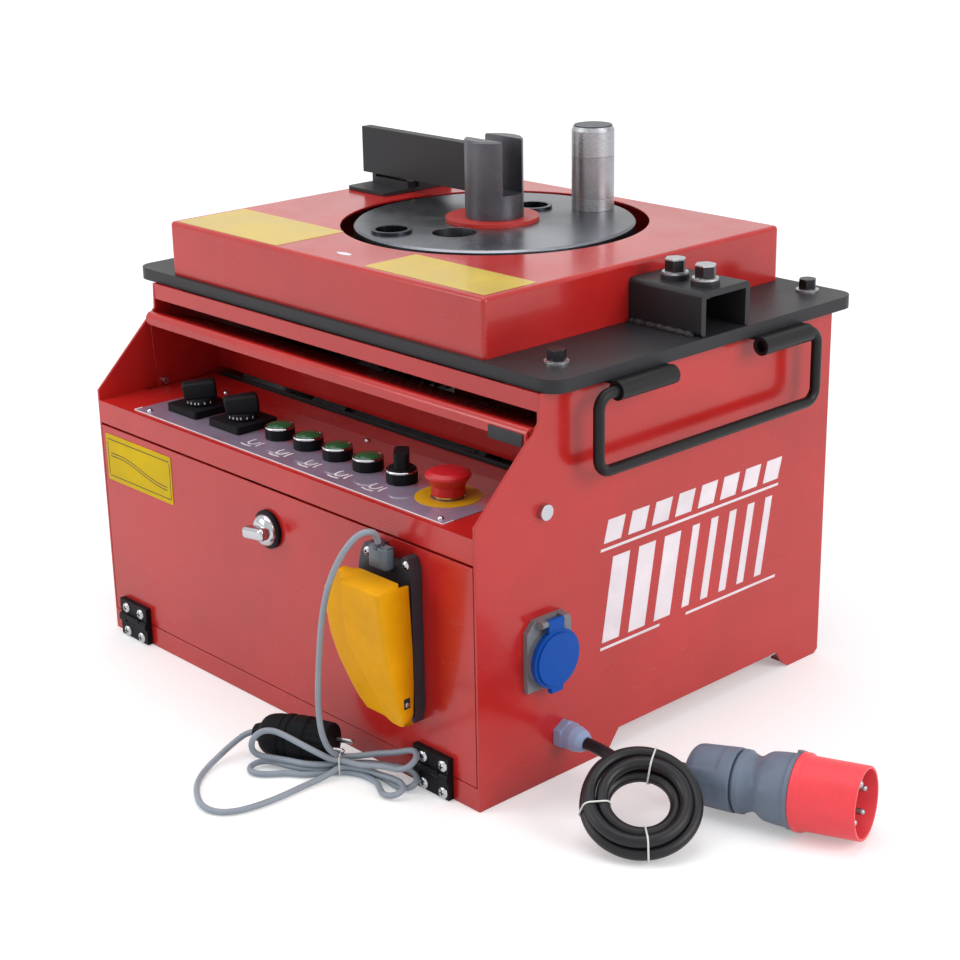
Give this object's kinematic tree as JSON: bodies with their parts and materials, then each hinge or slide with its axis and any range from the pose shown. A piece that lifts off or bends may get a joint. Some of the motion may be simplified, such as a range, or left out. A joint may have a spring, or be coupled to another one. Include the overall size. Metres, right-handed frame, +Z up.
{
  "type": "bench rebar bending machine",
  "caption": "Floor or bench machine that bends reinforcing bar: turntable with pins and fence on a plate, console with buttons under a lid, pedal on the front door, folding handles.",
  "frame": {"origin": "on the floor under the middle of the machine body without its cords", "axes": "+Z up, -Y towards the operator and the front door, +X to the right seen from the front"},
  "size_m": [0.8817, 0.654, 0.5085],
  "materials": {
    "red_paint": "gloss",
    "charcoal_paint": "satin",
    "black_paint": "satin",
    "grey_paint": "satin",
    "disc_steel": "brushed",
    "pin_steel": "turned",
    "bright_steel": "brushed",
    "chrome": "polished",
    "red_washer": "matt",
    "bush_bronze": "turned",
    "cast_iron": "as cast",
    "black_plastic": "matt",
    "dark_plastic": "matt",
    "grey_plastic": "satin",
    "green_plastic": "gloss",
    "stop_red": "gloss",
    "yellow_plastic": "satin",
    "blue_plastic": "gloss",
    "gland_plastic": "satin",
    "zinc": "plated",
    "cord_rubber": "matt",
    "cord_grey": "satin",
    "plug_red": "satin"
  },
  "bodies": {
    "machine": {"side_panel_right": "red_paint", "side_panel_left": "red_paint", "base_pan": "red_paint", "rear_panel": "red_paint", "upper_front_band": "red_paint", "console_panel": "red_paint", "table_plate": "charcoal_paint", "disc_cover": "red_paint", "cap_screws": "zinc", "tool_socket": "charcoal_paint", "bearing_housing": "cast_iron", "spindle_bearings": "bright_steel", "reducer_case": "cast_iron", "drive_motor": "grey_paint", "control_box": "grey_plastic", "switch_bases": "black_plastic", "button_bezels": "black_plastic", "estop_plate": "yellow_plastic", "pivot_bolts": "chrome", "hinge_leaves": "black_plastic", "socket_flange": "grey_plastic", "cable_gland": "gland_plastic", "handle_lugs": "black_paint", "mains_lead_run": "cord_rubber", "mains_lead_coil": "cord_rubber", "mains_lead_tail": "cord_rubber", "mains_plug": "plug_red", "pedal_cord_drop": "cord_grey", "pedal_cord_hank": "cord_grey", "pedal_cord_tail": "cord_grey", "pedal_plug": "dark_plastic"},
    "turntable": {"turntable_disc": "disc_steel", "disc_bushes": "pin_steel", "centre_washer": "red_washer", "spindle": "pin_steel", "main_gear": "pin_steel"},
    "output_shaft": {"output_shaft": "pin_steel", "drive_pinion": "pin_steel"},
    "centre_pin": {"centre_pin": "pin_steel"},
    "bending_pin": {"bending_pin": "pin_steel"},
    "bending_roller": {"bending_roller": "pin_steel"},
    "fence": {"fence": "red_paint"},
    "door": {"front_door": "red_paint", "door_leaves": "black_plastic", "pedal_base": "dark_plastic"},
    "door_latch": {"door_latch": "chrome"},
    "pedal_treadle": {"pedal_treadle": "yellow_plastic"},
    "control_cover": {"control_cover": "red_paint"},
    "green_button_1": {"green_button_1": "green_plastic"},
    "green_button_2": {"green_button_2": "green_plastic"},
    "green_button_3": {"green_button_3": "green_plastic"},
    "green_button_4": {"green_button_4": "green_plastic"},
    "selector_knob": {"selector_knob": "black_plastic"},
    "cam_knob_1": {"cam_knob_1": "black_plastic"},
    "cam_knob_2": {"cam_knob_2": "black_plastic"},
    "estop_stem": {"estop_stem": "black_plastic"},
    "estop_head": {"estop_head": "stop_red"},
    "socket_lid": {"socket_lid": "blue_plastic"},
    "handle_right": {"handle_right": "black_paint"},
    "handle_left": {"handle_left": "black_paint"}
  },
  "joints": [
    {"name": "turntable_turn", "type": "hinge", "parent": "machine", "child": "turntable", "pos_m": [-0.0047, 0.0895, 0.424], "axis": [0, 0, -1], "range_deg": [0, 180]},
    {"name": "output_turn", "type": "hinge", "parent": "machine", "child": "output_shaft", "pos_m": [0.1453, 0.0895, 0.3], "axis": [0, 0, 1], "range_deg": [0, 720]},
    {"name": "centre_pin_lift", "type": "slide", "parent": "turntable", "child": "centre_pin", "axis": [0, 0, 1], "range_m": [0, 0.05]},
    {"name": "bending_pin_lift", "type": "slide", "parent": "turntable", "child": "bending_pin", "axis": [0, 0, 1], "range_m": [0, 0.02]},
    {"name": "roller_spin", "type": "hinge", "parent": "bending_pin", "child": "bending_roller", "pos_m": [0.02775, 0.19565, 0.46], "axis": [0, 0, 1], "continuous": true},
    {"name": "fence_shift", "type": "slide", "parent": "machine", "child": "fence", "axis": [0, 1, 0], "range_m": [-0.005, 0.015]},
    {"name": "door_swing", "type": "hinge", "parent": "machine", "child": "door", "pos_m": [0, -0.2209, 0.021], "axis": [1, 0, 0], "range_deg": [0, 56], "deforming": ["pedal_cord_drop"]},
    {"name": "latch_turn", "type": "hinge", "parent": "door", "child": "door_latch", "pos_m": [0.011, -0.2265, 0.185], "axis": [0, 1, 0], "range_deg": [0, 90]},
    {"name": "treadle_press", "type": "hinge", "parent": "door", "child": "pedal_treadle", "pos_m": [0.21, -0.2395, 0.0887], "axis": [-1, 0, 0], "range_deg": [0, 2], "stiffness_Nm_per_rad": 20, "springref_deg": -2.86},
    {"name": "cover_swing", "type": "hinge", "parent": "machine", "child": "control_cover", "pos_m": [0, -0.1385, 0.2545], "axis": [1, 0, 0], "range_deg": [0, 77]},
    {"name": "button_press_1", "type": "slide", "parent": "machine", "child": "green_button_1", "axis": [0, 0, -1], "range_m": [0, 0.004], "stiffness_N_per_m": 300, "springref_m": -0.002},
    {"name": "button_press_2", "type": "slide", "parent": "machine", "child": "green_button_2", "axis": [0, 0, -1], "range_m": [0, 0.004], "stiffness_N_per_m": 300, "springref_m": -0.002},
    {"name": "button_press_3", "type": "slide", "parent": "machine", "child": "green_button_3", "axis": [0, 0, -1], "range_m": [0, 0.004], "stiffness_N_per_m": 300, "springref_m": -0.002},
    {"name": "button_press_4", "type": "slide", "parent": "machine", "child": "green_button_4", "axis": [0, 0, -1], "range_m": [0, 0.004], "stiffness_N_per_m": 300, "springref_m": -0.002},
    {"name": "selector_turn", "type": "hinge", "parent": "machine", "child": "selector_knob", "pos_m": [0.1396, -0.1635, 0.26], "axis": [0, 0, 1], "range_deg": [-90, 0]},
    {"name": "switch_turn_1", "type": "hinge", "parent": "machine", "child": "cam_knob_1", "pos_m": [-0.163, -0.1645, 0.265], "axis": [0, 0, 1], "range_deg": [-60, 60]},
    {"name": "switch_turn_2", "type": "hinge", "parent": "machine", "child": "cam_knob_2", "pos_m": [-0.0935, -0.1645, 0.265], "axis": [0, 0, 1], "range_deg": [-60, 60]},
    {"name": "stop_press", "type": "slide", "parent": "machine", "child": "estop_stem", "axis": [0, 0, -1], "range_m": [0, 0.0025], "stiffness_N_per_m": 600, "springref_m": -0.002},
    {"name": "stop_release", "type": "hinge", "parent": "estop_stem", "child": "estop_head", "pos_m": [0.1978, -0.1608, 0.27], "axis": [0, 0, 1], "range_deg": [0, 45]},
    {"name": "socket_lid_swing", "type": "hinge", "parent": "machine", "child": "socket_lid", "pos_m": [0.302, -0.1365, 0.157], "axis": [0, -1, 0], "range_deg": [0, 110]},
    {"name": "handle_swing_right", "type": "hinge", "parent": "machine", "child": "handle_right", "pos_m": [0.3115, 0.0535, 0.349], "axis": [0, -1, 0], "range_deg": [-8, 150]},
    {"name": "handle_swing_left", "type": "hinge", "parent": "machine", "child": "handle_left", "pos_m": [-0.3115, 0.0535, 0.349], "axis": [0, 1, 0], "range_deg": [-8, 150]}
  ],
  "couplings": [
    {"joint": "output_turn", "follows": "turntable_turn", "ratio": 4}
  ]
}
